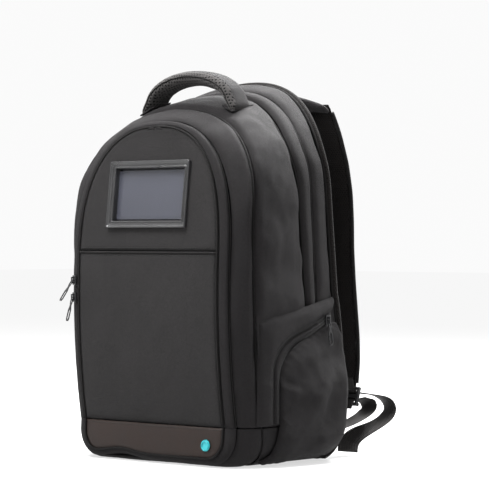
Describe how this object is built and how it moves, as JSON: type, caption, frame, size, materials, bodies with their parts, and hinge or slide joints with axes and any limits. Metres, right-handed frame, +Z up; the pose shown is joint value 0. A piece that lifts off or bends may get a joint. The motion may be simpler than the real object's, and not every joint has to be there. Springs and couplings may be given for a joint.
{
  "type": "solar backpack",
  "caption": "Backpack with a thin-film solar window in its hinged front cover, zipped pockets, padded straps and handle, and a battery pack inside.",
  "frame": {"origin": "on the surface that the bag stands on, under the flat underside of the base tray", "axes": "+Z up, -Y out of the front cover, +X to the side that a viewer in front sees on the right"},
  "size_m": [0.3222, 0.3239, 0.4739],
  "materials": {
    "fabric": "matt woven polyester",
    "gusset_fabric": "matt woven polyester",
    "trim_leather": "fine grained leather-look trim",
    "frame_leather": "pressed leather-look trim",
    "clear_film": "clear",
    "solar_cell": "satin thin-film cell",
    "board": "matt",
    "zip_tape": "woven tape",
    "zip_metal": "black lacquer",
    "mesh": "spacer mesh",
    "webbing": "woven webbing",
    "lining": "plain lining",
    "plastic": "moulded",
    "circuit": "solder mask",
    "cell_wrap": "shrink wrap",
    "badge": "enamel",
    "lead": "matt"
  },
  "bodies": {
    "bag": {"front_gusset": "gusset_fabric", "middle_gusset": "gusset_fabric", "rear_gusset": "gusset_fabric", "base_tray": "gusset_fabric", "trim_band": "trim_leather", "badge": "badge", "zip_tape_body_side": "zip_tape", "main_zip_tape": "zip_tape", "front_piping": "zip_tape", "back_panel": "lining", "back_pad_left": "mesh", "back_pad_right": "mesh", "front_pocket_back_wall": "lining", "laptop_divider": "lining", "battery_sleeve": "lining", "solar_lead_lower": "lead", "lead_plug": "plastic", "yoke": "gusset_fabric", "pocket_band_left": "gusset_fabric", "pocket_band_right": "gusset_fabric", "pocket_panel_left": "gusset_fabric", "pocket_panel_right": "gusset_fabric", "pocket_zip_left": "zip_tape", "pocket_zip_right": "zip_tape", "webbing_run_left": "webbing", "webbing_run_right": "webbing"},
    "front_cover": {"front_panel_lower": "fabric", "front_panel_upper": "fabric", "zip_tape_cover_side": "zip_tape", "window_frame": "frame_leather", "window_film": "clear_film", "solar_laminate": "solar_cell", "solar_backing": "board", "junction_box": "plastic", "solar_lead_upper": "lead"},
    "battery_pack": {"battery_case_front": "plastic", "battery_case_rear": "plastic", "battery_cell": "cell_wrap", "charge_board": "circuit"},
    "power_button": {"power_button": "plastic"},
    "handle": {"handle_upper": "gusset_fabric", "handle_mesh_pad": "mesh"},
    "slider_front_upper": {"slider_front_upper": "zip_metal"},
    "pull_front_upper": {"pull_front_upper": "zip_metal"},
    "slider_front_lower": {"slider_front_lower": "zip_metal"},
    "pull_front_lower": {"pull_front_lower": "zip_metal"},
    "slider_main_upper": {"slider_main_upper": "zip_metal"},
    "pull_main_upper": {"pull_main_upper": "zip_metal"},
    "slider_main_lower": {"slider_main_lower": "zip_metal"},
    "pull_main_lower": {"pull_main_lower": "zip_metal"},
    "slider_pocket_left": {"slider_pocket_left": "zip_metal"},
    "pull_pocket_left": {"pull_pocket_left": "zip_metal"},
    "slider_pocket_right": {"slider_pocket_right": "zip_metal"},
    "pull_pocket_right": {"pull_pocket_right": "zip_metal"},
    "shoulder_strap_left": {"shoulder_strap_left": "mesh"},
    "ladder_lock_left": {"ladder_lock_left": "plastic", "webbing_tail_left": "webbing"},
    "shoulder_strap_right": {"shoulder_strap_right": "mesh"},
    "ladder_lock_right": {"ladder_lock_right": "plastic", "webbing_tail_right": "webbing"}
  },
  "joints": [
    {"name": "front_cover_hinge", "type": "hinge", "parent": "bag", "child": "front_cover", "pos_m": [0, -0.07133, 0.0472], "axis": [1, 0, 0], "range_deg": [0, 80]},
    {"name": "front_upper_slide", "type": "slide", "parent": "bag", "child": "slider_front_upper", "axis": [0, 0.035, 0.9994], "range_m": [0, 0.045]},
    {"name": "front_lower_slide", "type": "slide", "parent": "bag", "child": "slider_front_lower", "axis": [0, -0.035, 0.9994], "range_m": [-0.06, 0]},
    {"name": "main_upper_slide", "type": "slide", "parent": "bag", "child": "slider_main_upper", "axis": [0, -0.0847, 0.9964], "range_m": [0, 0.04]},
    {"name": "main_lower_slide", "type": "slide", "parent": "bag", "child": "slider_main_lower", "axis": [0, -0.0847, 0.9964], "range_m": [-0.035, 0]},
    {"name": "pocket_left_slide", "type": "slide", "parent": "bag", "child": "slider_pocket_left", "axis": [-0.1003, -0.9328, -0.3461], "range_m": [0, 0.035]},
    {"name": "pocket_right_slide", "type": "slide", "parent": "bag", "child": "slider_pocket_right", "axis": [0.1003, -0.9328, -0.3461], "range_m": [0, 0.035]},
    {"name": "front_upper_pull", "type": "hinge", "parent": "slider_front_upper", "child": "pull_front_upper", "pos_m": [-0.12245, -0.08502, 0.217], "axis": [-0.9439, 0.3304, 0], "range_deg": [-25, 100]},
    {"name": "front_lower_pull", "type": "hinge", "parent": "slider_front_lower", "child": "pull_front_lower", "pos_m": [-0.12245, -0.08514, 0.196], "axis": [-0.9439, 0.3304, 0], "range_deg": [-6, 42]},
    {"name": "main_upper_pull", "type": "hinge", "parent": "slider_main_upper", "child": "pull_main_upper", "pos_m": [-0.1552, 0.04023, 0.302], "axis": [0, 1, 0], "range_deg": [0, 120]},
    {"name": "main_lower_pull", "type": "hinge", "parent": "slider_main_lower", "child": "pull_main_lower", "pos_m": [-0.1552, 0.04295, 0.27], "axis": [0, 1, 0], "range_deg": [0, 95]},
    {"name": "pocket_left_pull", "type": "hinge", "parent": "slider_pocket_left", "child": "pull_pocket_left", "pos_m": [-0.15647, 0.0725, 0.17], "axis": [0, 1, 0], "range_deg": [0, 120]},
    {"name": "pocket_right_pull", "type": "hinge", "parent": "slider_pocket_right", "child": "pull_pocket_right", "pos_m": [0.15647, 0.0725, 0.17], "axis": [0, -1, 0], "range_deg": [0, 120]},
    {"name": "handle_hinge", "type": "hinge", "parent": "bag", "child": "handle", "pos_m": [0, 0.01, 0.4335], "axis": [1, 0, 0], "range_deg": [-25, 25]},
    {"name": "strap_left_hinge", "type": "hinge", "parent": "bag", "child": "shoulder_strap_left", "pos_m": [-0.085, 0.1225, 0.4265], "axis": [1, 0, 0], "range_deg": [0, 15], "deforming": ["webbing_run_left"]},
    {"name": "ladder_lock_left_tilt", "type": "hinge", "parent": "shoulder_strap_left", "child": "ladder_lock_left", "pos_m": [-0.095, 0.181, 0.0825], "axis": [1, 0, 0], "range_deg": [-22, 0], "deforming": ["webbing_run_left"]},
    {"name": "strap_right_hinge", "type": "hinge", "parent": "bag", "child": "shoulder_strap_right", "pos_m": [0.085, 0.1225, 0.4265], "axis": [1, 0, 0], "range_deg": [0, 15], "deforming": ["webbing_run_right"]},
    {"name": "ladder_lock_right_tilt", "type": "hinge", "parent": "shoulder_strap_right", "child": "ladder_lock_right", "pos_m": [0.095, 0.181, 0.0825], "axis": [1, 0, 0], "range_deg": [-22, 0], "deforming": ["webbing_run_right"]},
    {"name": "battery_pack_slide", "type": "slide", "parent": "bag", "child": "battery_pack", "axis": [0, 0, 1], "range_m": [0, 0.1]},
    {"name": "power_button_travel", "type": "slide", "parent": "battery_pack", "child": "power_button", "axis": [0, 0, -1], "range_m": [0, 0.0007], "stiffness_N_per_m": 300}
  ]
}
